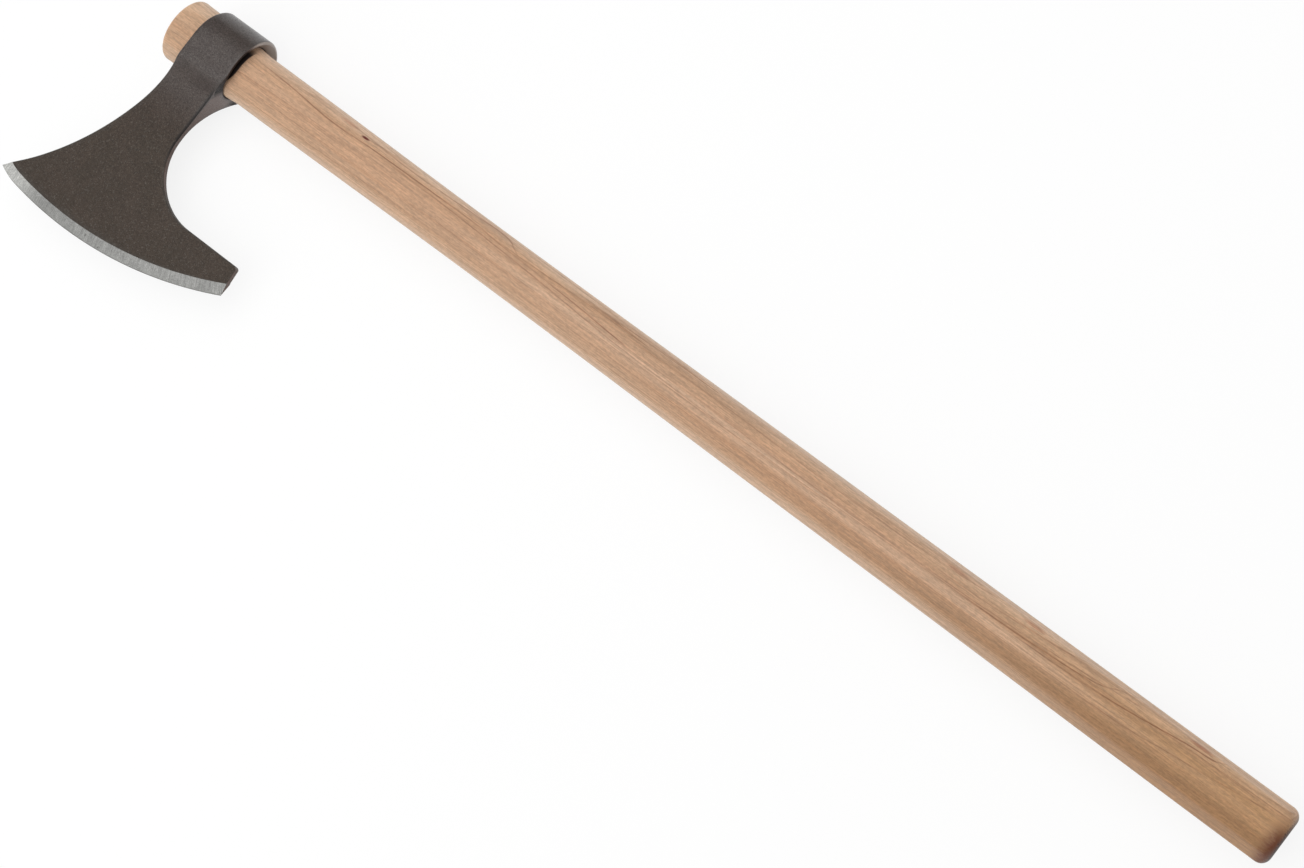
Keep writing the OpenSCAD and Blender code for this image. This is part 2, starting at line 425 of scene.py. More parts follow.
def boreRadius(along):
    wider = (head["boreLow"] - head["boreTop"]) * (along - head["eyeTop"]) / head["eyeHeight"]
    return (head["boreTop"] + wider) / 2


# Once round the eye, on the outer rim and across the neck
def ringPoint(k, column):
    if k <= ringRow:
        return neckPoint(column, ringRow - k)
    if k <= 2 * ringRow:
        p = neckPoint(column, k - ringRow)
        return Vector((p.x, p.y, -p.z))
    p = neckPoint(column, ringRow)
    return Vector((p.x, p.y, -p.z * (1 - 2 * (k - 2 * ringRow) / head["wallColumns"])))


# The bore's lower mouth is countersunk; it runs out where the underside rises to the neck
def lowMouth(out):
    coneStart = eyeLow - head["mouthDepth"]
    slope = (head["mouthWide"] - boreRadius(coneStart)) / head["mouthDepth"]
    radius = boreRadius(eyeLow)
    for k in range(12):
        along = lowOutline(radius * out.x)
        radius = boreRadius(along) + head["mouthRound"] + max(0, along - coneStart) * slope
    start = min(coneStart, lowOutline(radius * out.x) - head["mouthRound"])
    return start, radius


# From the upper rim in to the bore, down through it, and out to the lower rim
mouthSteps = [(a, "top") for a in (0, 0.4, 0.75)] + [(a, "topRound") for a in (90, 60, 30, 0)]
mouthSteps += [(a, "bore") for a in (0.2, 0.4, 0.6, 0.8)] + [(a, "lowCut") for a in (0, 0.5, 1)]
mouthSteps += [(a, "low") for a in (0.6, 0)]


def eyePoint(k, step):
    share, part = mouthSteps[step]
    isTop = part in ("top", "topRound")
    outer = ringPoint(k, 0 if isTop else neckLast)
    out = point(outer.y, outer.z).normalized()
    topLine = topOutline(boreRadius(head["eyeTop"]) * out.x)
    rounding = head["mouthRound"]
    start, wide = lowMouth(out)
    if part == "bore":
        along = topLine + rounding + (start - topLine - rounding) * share
        q = out * boreRadius(along)
    elif part == "topRound":
        turn = radians(share)
        q = out * (boreRadius(topLine) + rounding * (1 - cos(turn)))
        along = topOutline(q.x) + rounding * (1 - sin(turn))
    elif part == "lowCut":
        q = out * (boreRadius(start) + (wide - boreRadius(start)) * share)
        along = start + (lowOutline(wide * out.x) - start) * share
    else:
        rim = out * (boreRadius(topLine) + rounding if isTop else wide)
        q = point(outer.y, outer.z).lerp(rim, share)
        along = (topOutline if isTop else lowOutline)(q.x) if share else outer.x
    return onHead(Vector((along, q.x, q.y)))


def makeHead():
    parts = []
    for side in (1, -1):
        parts.append(layGrid("neckSide", neckLast, lastRow, lambda c, r: onHead(neckPoint(c, r), side)))
        parts.append(layGrid("bladeSide", spokeLast, bladeLast, lambda c, r: onHead(bladePoint(c, r), side)))
    topCount = neckWall + bladeLast
    lowCount = topCount + spokeLast - neckLast
    obj = layGrid("axeHead", topCount, head["wallColumns"], lambda c, r: acrossWall(topWall(c), r))
    parts.append(layGrid("lowWall", lowCount, head["wallColumns"], lambda c, r: acrossWall(lowWall(c), r)))
    parts.append(layGrid("eyeRing", ringLast, len(mouthSteps) - 1, eyePoint))
    joinInto(obj, parts)
    return obj


# The faces of the ground bevel get the second finish, and its boundary stays crisp
def markBevel(obj, flatness=0.9, near=0.03):
    slots = {}
    for face in obj.data.polygons:
        p = (face.center - at(0)) * 1000
        q = point(p.x, -p.y)
        onToe = angleOf(edgeCentre, q) > 90 + toeTurn
        centre, radius = (toeCentre, head["toeRadius"]) if onToe else (edgeCentre, head["edgeRadius"])
        inwards = radius - (q - centre).length
        isGround = abs(face.normal.z) > flatness and abs(abs(p.z) - inwards * bevelSlope) < near
        face.material_index = 1 if isGround else 0
        for key in face.edge_keys:
            slots.setdefault(key, set()).add(face.material_index)
    for edge in obj.data.edges:
        edge.use_edge_sharp = len(slots[tuple(sorted(edge.vertices))]) == 2


# How sharply the surface turns at each point, smoothed once: where a coating rubs through, and where the coat
# paints shade and a highlight along its edges
def markSharpness(obj, fullTurn=15.0):
    mesh = bmesh.new()
    mesh.from_mesh(obj.data)
    mesh.verts.ensure_lookup_table()
    sharp = [min(1, max([degrees(e.calc_face_angle_signed(0)) for e in v.link_edges] + [0]) / fullTurn)
             for v in mesh.verts]
    sharpness = [(sharp[v.index] + sum(sharp[e.other_vert(v).index] for e in v.link_edges) / len(v.link_edges)) / 2
            for v in mesh.verts]
    mesh.free()
    attribute = obj.data.attributes.new("edgeSharpness", "FLOAT", "POINT")
    attribute.data.foreach_set("value", sharpness)


axeHead = makeHead()
markBevel(axeHead)
markSharpness(axeHead)
activate(axeHead)
bpy.ops.object.shade_smooth_by_angle(angle=radians(head["smoothBelow"]), keep_sharp_edges=True)
print("head shaped", len(axeHead.data.polygons), "faces")

# The haft, in millimetres: one turned length of hardwood, with eight soft flats shaved along its grip
haft = {
    "length": 762.0, "knob": 39.6, "knobRound": 2.0, "throat": 33.0, "throatBelow": 4.0, "waist": 30.8,
    "waistAt": 240.0, "middle": 32.2, "middleAt": 480.0, "grip": 33.7, "gripLength": 22.0, "buttRound": 6.0,
    "seatLength": 17.0, "fitGap": 0.1,
    "flats": 8, "flatFrom": 290.0, "flatDepth": 0.9, "flatStart": 0.25, "flatTurn": 7.0, "arrisSoft": 0.12,
    # Mesh: points round the haft, and rings close together at the head and wider apart below it
    "sides": 144, "roundSteps": 8, "firstRing": 4.0, "closeRings": 2.2, "closeTo": 60.0, "wideRings": 6.0,
    "smoothBelow": 30,
}


def haftRadius(x):
    h = haft
    seatEnd, throatAt = head["eyeTop"] + h["seatLength"], eyeLow + h["throatBelow"]
    if x < head["eyeTop"]:
        seatRadius = boreRadius(head["eyeTop"]) - h["fitGap"]
        return h["knob"] / 2 + (seatRadius - h["knob"] / 2) * x / head["eyeTop"]
    if x < seatEnd:
        return boreRadius(x) - h["fitGap"]
    if x < throatAt:
        seatRadius = boreRadius(seatEnd) - h["fitGap"]
        return seatRadius + (h["throat"] / 2 - seatRadius) * (x - seatEnd) / (throatAt - seatEnd)
    places = [throatAt, h["waistAt"], h["middleAt"], h["length"] - h["gripLength"]]
    sizes = [h["throat"], h["waist"], h["middle"], h["grip"]]
    for i in range(3):
        if x < places[i + 1]:
            t = (x - places[i]) / (places[i + 1] - places[i])
            return (sizes[i] + (sizes[i + 1] - sizes[i]) * ease(t)) / 2
    return h["grip"] / 2


# Rings along the haft, each with its radius: the rounded top, the shaft, the rounded butt end
def haftRings():
    h = haft
    turns = [radians(90 * k / h["roundSteps"]) for k in range(h["roundSteps"] + 1)]
    rings = []
    for a in turns:
        inwards = h["knobRound"] * (1 - sin(a))
        rings.append((h["knobRound"] * (1 - cos(a)), h["knob"] / 2 - inwards))
    x = h["firstRing"]
    while x < h["length"] - h["buttRound"] - 1:
        rings.append((x, haftRadius(x)))
        x += h["closeRings"] if x < h["closeTo"] else h["wideRings"]
    for a in turns:
        inwards = h["buttRound"] * (1 - cos(a))
        rings.append((h["length"] - h["buttRound"] * (1 - sin(a)), h["grip"] / 2 - inwards))
    return rings


def makeHaft():
    rings = haftRings()
    deselectAll()
    bpy.ops.mesh.primitive_circle_add(
        vertices=haft["sides"], radius=rings[0][1] / 1000, fill_type="NGON", location=at(rings[0][0]),
        rotation=(0, pi / 2, 0))
    obj = bpy.context.object
    obj.name = "woodenHaft"
    applyPlace(obj)
    editMode(obj)
    for (x0, r0), (x1, r1) in zip(rings, rings[1:]):
        bpy.ops.mesh.extrude_region_move(TRANSFORM_OT_translate={"value": Vector((x1 - x0, 0, 0)) / 1000})
        bpy.ops.transform.resize(value=(1, r1 / r0, r1 / r0), center_override=at(x1))
    faceOutwards()
    objectMode()
    return obj


# Shaves the flats: where a ring stands proud of a flat's plane it is drawn down to it, softly at the arrises
def shaveFlats(obj):
    h = haft
    begin = h["waist"] / 2 + h["flatStart"]
    deep = h["grip"] / 2 - h["flatDepth"]
    each = 360 / h["flats"]
    for v in obj.data.vertices:
        along, up, across = (1000 * c for c in v.co - at(0))
        radius = hypot(up, across)
        if along < h["flatFrom"] - 10 or radius < 1:
            continue
        face = begin + (deep - begin) * (along - h["flatFrom"]) / (h["length"] - h["flatFrom"])
        angle = degrees(atan2(up, across)) + 90
        off = (angle - h["flatTurn"]) % each - each / 2
        plane = face / cos(radians(off))
        rounded = log(1 + exp(-abs(radius - plane) / h["arrisSoft"]))
        scale = (min(radius, plane) - h["arrisSoft"] * rounded) / radius
        v.co = at(along, up * scale, across * scale)


woodenHaft = makeHaft()
shaveFlats(woodenHaft)
activate(woodenHaft)
bpy.ops.object.shade_smooth_by_angle(angle=radians(haft["smoothBelow"]))
print("haft shaped", len(woodenHaft.data.polygons), "faces")


# Node helpers: a value in inputs is either a plain value or another node's output
def fill(tree, node, inputs):
    for name, value in inputs.items():
        if isinstance(value, bpy.types.NodeSocket):
            tree.links.new(value, node.inputs[name])
        else:
            node.inputs[name].default_value = value


def put(tree, kind, inputs=None, **settings):
    node = tree.nodes.new(kind)
    for name, value in settings.items():
        setattr(node, name, value)
    fill(tree, node, inputs or {})
    return node


def maths(tree, operation, *values):
    return put(tree, "ShaderNodeMath", dict(enumerate(values)), operation=operation).outputs[0]


def times(tree, first, *others):
    for other in others:
        first = maths(tree, "MULTIPLY", first, other)
    return first


def plus(tree, first, *others):
    for other in others:
        first = maths(tree, "ADD", first, other)
    return first


def minus(tree, first, second):
    return maths(tree, "SUBTRACT", first, second)


def ramp(tree, value, fromLow, fromHigh, toLow=0.0, toHigh=1.0, smooth=True):
    inputs = {0: value, 1: fromLow, 2: fromHigh, 3: toLow, 4: toHigh}
    kind = "SMOOTHSTEP" if smooth else "LINEAR"
    return put(tree, "ShaderNodeMapRange", inputs, interpolation_type=kind).outputs[0]


def blend(tree, share, first, second):
    return put(tree, "ShaderNodeMix", {0: share, 6: first, 7: second}, data_type="RGBA").outputs[2]


def noise(tree, where, scale, detail=2.0, rough=0.5):
    inputs = {"Vector": where, "Scale": scale, "Detail": detail, "Roughness": rough}
    return put(tree, "ShaderNodeTexNoise", inputs).outputs["Fac"]


def vector(tree, operation, first, second=None):
    inputs = {0: first} if second is None else {0: first, 1: second}
    outputs = put(tree, "ShaderNodeVectorMath", inputs, operation=operation).outputs
    return outputs["Value" if operation in ("LENGTH", "DOT_PRODUCT") else "Vector"]


def scaled(tree, given, factor):
    return put(tree, "ShaderNodeVectorMath", {0: given, "Scale": factor}, operation="SCALE").outputs[0]


def stretched(tree, where, *scale):
    return put(tree, "ShaderNodeMapping", {"Vector": where, "Scale": scale}).outputs[0]


def split(tree, given):
    return put(tree, "ShaderNodeSeparateXYZ", {0: given}).outputs


def joined(tree, x, y, z):
    return put(tree, "ShaderNodeCombineXYZ", {0: x, 1: y, 2: z}).outputs[0]


# A small soft spot, from nothing at its reach to full at its core; stretching above 1 makes it narrower
def spot(tree, where, centre, stretching, reach, core):
    apart = vector(tree, "MULTIPLY", vector(tree, "SUBTRACT", where, centre), stretching)
    return ramp(tree, vector(tree, "LENGTH", apart), reach, core)


# Colours are written as a paint programme shows them
def colour(red, green, blue):
    def linear(c):
        c = c / 255
        return c / 12.92 if c <= 0.04045 else ((c + 0.055) / 1.055) ** 2.4
    return (linear(red), linear(green), linear(blue), 1.0)


def newGroup(name, inputs, outputs):
    tree = bpy.data.node_groups.new(name, "ShaderNodeTree")
    for way, sockets in (("INPUT", inputs), ("OUTPUT", outputs)):
        for socket, kind in sockets.items():
            tree.interface.new_socket(name=socket, in_out=way, socket_type="NodeSocket" + kind)
    return tree, put(tree, "NodeGroupInput").outputs, put(tree, "NodeGroupOutput")


# Broad cloudy patches that shift a colour towards another, as in any hand-worked surface
def makeMottle():
    inputs = {"Where": "Vector", "Colour": "Color", "Other": "Color", "Scale": "Float", "Amount": "Float"}
    tree, given, result = newGroup("mottle", inputs, {"Colour": "Color", "Mask": "Float"})
    mask = ramp(tree, noise(tree, given["Where"], given["Scale"], 4.0, 0.6), 0.35, 0.65)
    mixed = blend(tree, times(tree, mask, given["Amount"]), given["Colour"], given["Other"])
    fill(tree, result, {"Colour": mixed, "Mask": mask})
    return tree


# Fine grit: speckle in colour, and a height for the bump
def makeGrit():
    inputs = {"Where": "Vector", "Colour": "Color", "Scale": "Float", "Contrast": "Float"}
    tree, given, result = newGroup("grit", inputs, {"Colour": "Color", "Height": "Float"})
    fine = noise(tree, given["Where"], given["Scale"], 3.0, 0.7)
    coarse = noise(tree, given["Where"], times(tree, given["Scale"], 0.37), 2.0, 0.5)
    both = plus(tree, times(tree, fine, 0.8), times(tree, coarse, 0.2))
    spread = ramp(tree, both, 0.4, 0.6, -1.0, 1.0, smooth=False)
    shade = scaled(tree, given["Colour"], plus(tree, 1.0, times(tree, spread, given["Contrast"])))
    fill(tree, result, {"Colour": shade, "Height": both})
    return tree


mottle, grit = makeMottle(), makeGrit()


def useGroup(tree, group, inputs):
    return put(tree, "ShaderNodeGroup", inputs, node_tree=group).outputs


def bump(tree, height, strength, distance):
    inputs = {"Strength": strength, "Distance": distance, "Height": height}
    return put(tree, "ShaderNodeBump", inputs).outputs[0]


def newMaterial(name, rough, metal):
    material = bpy.data.materials.new(name)
    material.use_nodes = True
    tree = material.node_tree
    shader = tree.nodes["Principled BSDF"]
    fill(tree, shader, {"Roughness": rough, "Metallic": metal})
    return material, tree, shader


# Object coordinates, moved so that they count from the haft's top end and axis
def fromTop(tree):
    coords = put(tree, "ShaderNodeTexCoord").outputs["Object"]
    moved = put(tree, "ShaderNodeMapping", {"Vector": coords, "Location": tuple(-at(0))}).outputs[0]
    return moved, split(tree, moved)


# The way from the haft's axis to a place, straight across the haft
def offAxis(tree, axis):
    return joined(tree, 0.0, axis["Y"], axis["Z"])


# Finish of the haft. Places are in metres, along it from its top end or towards the poll from its axis;
# a pair says where something begins and where it is full, and two more numbers how much it is there
wood = {
    "nearHead": colour(196, 161, 131), "nearButt": colour(189, 149, 107), "knob": colour(198, 165, 135),
    "warm": colour(206, 158, 118), "brown": colour(146, 104, 62), "pale": colour(208, 174, 142),
    # The edge tone is painted light along the haft's sides and middle
    "edge": colour(214, 184, 156), "ringLine": colour(150, 104, 68), "figureLine": colour(132, 82, 52),
    # The two rim tones are painted shade at the butt end, over the end grain's own darker colour
    "loop": colour(158, 92, 58), "rimShade": colour(98, 46, 24), "endGrainAndShade": colour(58, 36, 26),
    # The mark tone is a painted shadow on the haft under the eye's mouth
    "mouthShadow": colour(24, 10, 6), "fleck": colour(104, 34, 22),
    "ringSpacing": 0.0046, "fineSpacing": 0.00115, "ringStart": 40.3, "ringTurn": 40.0, "ringTilt": -0.0125,
    "crossTilt": 0.012, "ringCurve": 9.0, "ringShare": 0.72, "wander": 0.006, "waver": 0.0006,
    "buttFrom": (0.50, 0.74), "knobFrom": (0.034, 0.012), "nearSide": (-0.002, 0.002),
    # Bands along the haft: colour, share, where across it and where along it
    "bands": [("brown", 0.6, (0.0, -0.007), (0.30, 0.70, 0.15, 1.0)),
              ("pale", 0.6, (0.004, 0.014), (0.10, 0.40, 0.3, 1.0))],
    # Painted light along the sides, and a painted highlight along the middle
    "sides": (0.0080, 0.0150, 0.0, 0.85), "sidesAlong": (0.48, 0.72, 1.0, 0.2),
    "middleLight": (0.0040, 0.0010), "middleLightAt": 0.44, "middleLightAlong": (0.24, 0.14), "middleLightShare": 0.45,
    # Layers of the butt rim's painted shade, over the end grain's own darker colour: colour, how ragged,
    # where along, where across, share
    "rim": [("rimShade", 1.0, (0.7585, 0.7675), (0.012, -0.003, 0.15, 1.0), 0.9),
            ("endGrainAndShade", 0.5, (0.7640, 0.7655), (0.016, 0.004, 0.4, 0.85), 1.0)],
    "rimLinen": 0.010, "rimGrain": 0.006,
    # Painted shadow under the eye's mouth: where it lies, and how it fades towards the poll
    "mouthShadowAt": 0.0365, "mouthShadowStart": (-0.0002, 0.0006), "mouthShadowEnd": (0.0046, 0.0038),
    "mouthShadowTurn": (0.60, 0.90, 1.0, 0.0),
    "fleckAt": (0.1373, 0.0112, 0.0115), "fleckStretch": (0.32, 0.9, 0.9), "fleckSize": (0.0012, 0.0005),
    "roughness": 0.5, "specular": 0.35, "softness": 0.8, "sheen": 0.10,
    # Loops of the figure: along, towards the poll, share
    "loops": [(0.703, 0.0132, 0.6), (0.600, 0.0128, 0.5), (0.551, 0.0122, 0.4), (0.124, 0.0128, 0.4)],
    "loopStretch": (0.14, 1, 0), "loopSize": (0.0014, 0.0004),
    # Lines of the figure: strength, then points along the haft and towards the poll, in millimetres
    "figureSpan": 40, "lineHalf": (0.00055, 0.00010),
    "lineStart": (-0.004, 0.020), "lineEnd": (0.002, -0.004),
    "figure": [
        (0.7, [(52, 10.7), (77, 9.9), (92, 9.0), (106, 7.8), (120, 7.4), (146, 8.4), (196, 8.9), (218, 9.0),
               (242, 7.7), (253, 7.4), (284, 6.4), (335, 3.6)]),
        (0.6, [(118, 12.9), (137, 12.6), (172, 11.6), (196, 12.0), (219, 13.0), (235, 13.5), (241, 13.0),
               (247, 10.9), (254, 8.0)]),
        (0.4, [(150, 7.4), (195, 7.0), (242, 5.6), (285, 3.6), (330, 1.4), (405, 0.5)]),
        (0.7, [(594, 2.6), (627, 3.6), (646, 4.6), (669, 6.8), (684, 8.7), (698, 10.4), (711, 11.4),
               (715, 12.6), (718, 14)]),
        (0.5, [(534, 6.4), (579, 8.2), (599, 9.9), (618, 11.4), (633, 13.9)]),
        (0.5, [(554, 3.0), (608, 4.8), (639, 7.5), (649, 10.0), (654, 12.2), (662, 13.8)]),
        (0.4, [(634, -2.6), (666, -1.4), (689, 1.0), (719, 4.1), (750, 8.0)]),
        (0.4, [(380, 4.0), (450, 3.0), (520, 3.4), (590, 5.6), (640, 9.0), (670, 12.0)]),
        (0.35, [(330, 8.0), (400, 9.4), (470, 9.0), (540, 10.6), (575, 13.0)]),
    ],
}


# Growth rings lie across a line that leans to the poll's side, and run out along the haft
def growthRings(tree, where, long, longer):
    w = wood
    turn = radians(w["ringTurn"])
    outward = vector(tree, "DOT_PRODUCT", where, (w["ringTilt"], sin(turn), cos(turn)))
    sideways = vector(tree, "DOT_PRODUCT", where, (w["crossTilt"], cos(turn), -sin(turn)))
    bent = times(tree, sideways, sideways, w["ringCurve"])
    wander = times(tree, minus(tree, noise(tree, longer, 60.0), 0.5), w["wander"])
    waver = times(tree, minus(tree, noise(tree, long, 300.0), 0.5), w["waver"])
    depth = plus(tree, outward, bent, plus(tree, wander, waver))
    ring, fineRing = [
        maths(tree, "FRACT", plus(tree, maths(tree, "DIVIDE", depth, spacing), w["ringStart"]))
        for spacing in (w["ringSpacing"], w["fineSpacing"])]
    line = maths(tree, "MAXIMUM", ramp(tree, ring, 0.0, 0.07, 1.0, 0.0), ramp(tree, ring, 0.5, 1.0, 0.0, 0.4))
    fineShown = ramp(tree, noise(tree, longer, 90.0), 0.4, 0.6, 0.1, 0.55)
    fineLine = times(tree, ramp(tree, fineRing, 0.3, 1.0), fineShown)
    broken = ramp(tree, noise(tree, longer, 120.0, 3.0), 0.35, 0.62, 0.35, 1.0)
    both = maths(tree, "MAXIMUM", times(tree, line, broken), fineLine)
    return line, times(tree, both, w["ringShare"])


# One long line of the wood's figure: a curve gives its place across the haft for each place along it
def figureLine(tree, axis, points):
    w = wood
    length, span = haft["length"], w["figureSpan"]
    along = maths(tree, "DIVIDE", axis["X"], length / 1000)
    curve = put(tree, "ShaderNodeFloatCurve", {"Value": along})
    path = curve.mapping.curves[0].points
    while len(path) < len(points):
        path.new(0.5, 0.5)
    for dot, (x, y) in zip(path, points):
        dot.location = (x / length, y / span + 0.5)
        dot.handle_type = "AUTO_CLAMPED"
    curve.mapping.update()
    side = times(tree, minus(tree, curve.outputs[0], 0.5), span / 1000)
    apart = maths(tree, "ABSOLUTE", minus(tree, axis["Y"], side))
    first, last = points[0][0] / 1000, points[-1][0] / 1000
    start = ramp(tree, axis["X"], *(first + c for c in w["lineStart"]))
    end = ramp(tree, axis["X"], *(last + c for c in w["lineEnd"]))
    return times(tree, times(tree, start, end), ramp(tree, apart, *w["lineHalf"]))


def figureLines(tree, axis, long):
    w = wood
    figure = 0.0
    for strength, points in w["figure"]:
        figure = maths(tree, "MAXIMUM", times(tree, figureLine(tree, axis, points), strength), figure)
    broken = ramp(tree, noise(tree, long, 500.0), 0.35, 0.60, 0.45, 1.0)
    return times(tree, figure, ramp(tree, axis["Z"], *w["nearSide"]), broken)


# Broad tones: paler at the head, browner towards the butt end, and bands along the haft, with painted light
# along its sides and middle
def tonesAndPaintedLight(tree, axis, long):
    w = wood
    base = blend(tree, ramp(tree, axis["X"], *w["buttFrom"]), w["nearHead"], w["nearButt"])
    base = blend(tree, ramp(tree, axis["X"], *w["knobFrom"]), base, w["knob"])
    toned = useGroup(tree, mottle, {
        "Where": long, "Colour": base, "Other": w["warm"], "Scale": 130.0, "Amount": 0.30})["Colour"]
    for tone, share, across, along in w["bands"]:
        band = times(tree, ramp(tree, axis["Y"], *across), ramp(tree, axis["X"], *along), share)
        toned = blend(tree, band, toned, w[tone])
    # Painted light: paler along both sides, less so towards the butt end, and a painted highlight along the
    # middle of the near side
    offMiddle = maths(tree, "ABSOLUTE", axis["Y"])
    sides = times(tree, ramp(tree, offMiddle, *w["sides"]), ramp(tree, axis["X"], *w["sidesAlong"]))
    toned = blend(tree, sides, toned, w["edge"])
    fromMiddleLight = maths(tree, "ABSOLUTE", minus(tree, axis["X"], w["middleLightAt"]))
    middleLight = times(tree, ramp(tree, offMiddle, *w["middleLight"]), ramp(tree, fromMiddleLight, *w["middleLightAlong"]))
    return blend(tree, times(tree, middleLight, w["middleLightShare"]), toned, w["edge"])


# Painted shade: the butt end's rim is darker on the blade's side, with a ragged boundary; its end grain is
# also darker in its own colour
def shadedButtRim(tree, axis, body, linen, grain):
    w = wood
    ragged = plus(tree, times(tree, linen, w["rimLinen"]), times(tree, grain, w["rimGrain"]))
    for tone, much, along, across, share in w["rim"]:
        edge = ramp(tree, plus(tree, axis["X"], times(tree, ragged, much)), *along)
        body = blend(tree, times(tree, edge, ramp(tree, axis["Y"], *across), share), body, w[tone])
    return body


# Painted shadow: a thin dark band where the eye's mouth bears on the haft; like the mouth it is arched on the
# blade's side
def paintMouthShadow(tree, axis, body):
    w = wood
    reach = maths(tree, "MAXIMUM", times(tree, axis["Y"], -1.0), 0.0)
    squared = minus(tree, (head["chinRadius"] / 1000) ** 2, times(tree, reach, reach))
    arch = maths(tree, "SQRT", maths(tree, "MAXIMUM", squared, 0.0))
    inside = minus(tree, plus(tree, arch, w["mouthShadowAt"]), axis["X"])
    mouthShadow = times(tree, ramp(tree, inside, *w["mouthShadowStart"]), ramp(tree, inside, *w["mouthShadowEnd"]))
    towardsPoll = split(tree, vector(tree, "NORMALIZE", offAxis(tree, axis)))["Y"]
    return blend(tree, times(tree, mouthShadow, ramp(tree, towardsPoll, *w["mouthShadowTurn"])), body, w["mouthShadow"])


def makeWood():
    w = wood
    material, tree, shader = newMaterial("hardwood", w["roughness"], 0.0)
    where, axis = fromTop(tree)
    # Drawn out along the haft: slow along it, quick across it
    long, longer = stretched(tree, where, 0.03, 1, 1), stretched(tree, where, 0.012, 1, 1)
    grain = noise(tree, long, 1400.0, 4.0, 0.65)
    linen = noise(tree, stretched(tree, where, 0.35, 1, 1), 900.0, 3.0, 0.7)
    pores = ramp(tree, noise(tree, stretched(tree, where, 0.09, 1, 1), 2600.0), 0.60, 0.70)
    line, ringShare = growthRings(tree, where, long, longer)
    body = blend(tree, ringShare, tonesAndPaintedLight(tree, axis, long), w["ringLine"])
    body = blend(tree, figureLines(tree, axis, long), body, w["figureLine"])
    for along, side, share in w["loops"]:
        near = spot(tree, where, (along, side, 0), w["loopStretch"], *w["loopSize"])
        near = times(tree, near, ramp(tree, axis["Z"], *w["nearSide"], 0.0, share))
        body = blend(tree, near, body, w["loop"])
    shade = ramp(tree, grain, 0.38, 0.62, 0.87, 1.13, smooth=False)
    shade = times(tree, shade, ramp(tree, pores, 0.0, 1.0, 1.0, 0.86, smooth=False))
    shade = times(tree, shade, ramp(tree, linen, 0.38, 0.62, 0.89, 1.11, smooth=False))
    body = shadedButtRim(tree, axis, scaled(tree, body, shade), linen, grain)
    body = paintMouthShadow(tree, axis, body)
    fleck = spot(tree, where, w["fleckAt"], w["fleckStretch"], *w["fleckSize"])
    body = blend(tree, fleck, body, w["fleck"])
    height = plus(tree, times(tree, grain, 0.6), times(tree, pores, -0.5))
    height = minus(tree, height, times(tree, line, 0.3))
    fill(tree, shader, {
        "Base Color": body, "Normal": bump(tree, height, 0.25, 0.0002),
        "Roughness": ramp(tree, grain, 0.3, 0.7, w["roughness"] - 0.06, w["roughness"] + 0.10),
        "Specular IOR Level": w["specular"], "Diffuse Roughness": w["softness"],
        "Sheen Weight": w["sheen"], "Sheen Roughness": 0.5})
    return material


# Coated finish of the head; places and pairs as for the haft
coat = {
    "blade": colour(60, 51, 43), "eye": colour(54, 42, 37), "patch": colour(72, 61, 54),
    # Painted light: the dark edge tone is painted shade, the worn tone partly wear and partly a painted
    # highlight on edges, the underside tone a painted reflection
    "worn": colour(150, 146, 140), "edgeShade": colour(26, 22, 20), "under": colour(104, 84, 76),
    # In the eye's mouth the gap tone is painted shade and the pale face tone a painted reflection
    "gap": colour(22, 13, 10), "faceReflection": colour(178, 166, 157),
    "eyeFrom": (-0.070, -0.015), "gritScale": 1900.0, "gritContrast": 0.42, "grains": 0.16,
    "facingDown": (0.5, 0.8, 0.0, 0.8),
    "neckAlong": (0.028, 0.034), "neckFrom": (-0.075, -0.055), "neckTo": (-0.016, -0.022),
    "neckEdge": (0.15, 0.5, 0.0, 0.9),
    # The eye's mouth, with its painted shade and reflection: how far out from the axis, how far along, and as
    # shares of the way out
    "mouthOut": (0.0235, 0.0229), "gapFrom": (0.036, 0.041), "lowFace": (0.0470, 0.0478),
    "besideHaft": (0.0188, 0.0178), "darkPoll": (0.40, 0.75, 1.0, 0.0), "darkCheek": (0.25, 0.60),
    "reflectionPoll": (0.5, 0.8, 0.0, 0.7),
    "roughness": 0.42, "specular": 0.22, "glossFrom": (-0.055, -0.012, 0.0, 1.0), "glossRoughness": 0.30,
}


# Painted shade on the eye's lower face beside the haft, which gives way to a paler painted reflection behind
# the poll
def eyeMouth(tree, axis):
    c = coat
    out = vector(tree, "LENGTH", offAxis(tree, axis))
    inMouth = times(tree, ramp(tree, out, *c["mouthOut"]), ramp(tree, axis["X"], *c["gapFrom"]))
    towardsPoll = maths(tree, "DIVIDE", axis["Y"], out)
    towardsCheek = maths(tree, "DIVIDE", maths(tree, "ABSOLUTE", axis["Z"]), out)
    dark = times(tree, ramp(tree, towardsPoll, *c["darkPoll"]), ramp(tree, towardsCheek, *c["darkCheek"]))
    dark = times(tree, inMouth, maths(tree, "MAXIMUM", dark, ramp(tree, out, *c["besideHaft"])))
    lowFace = times(tree, inMouth, ramp(tree, axis["X"], *c["lowFace"]))
    return dark, times(tree, lowFace, ramp(tree, towardsPoll, *c["reflectionPoll"]))


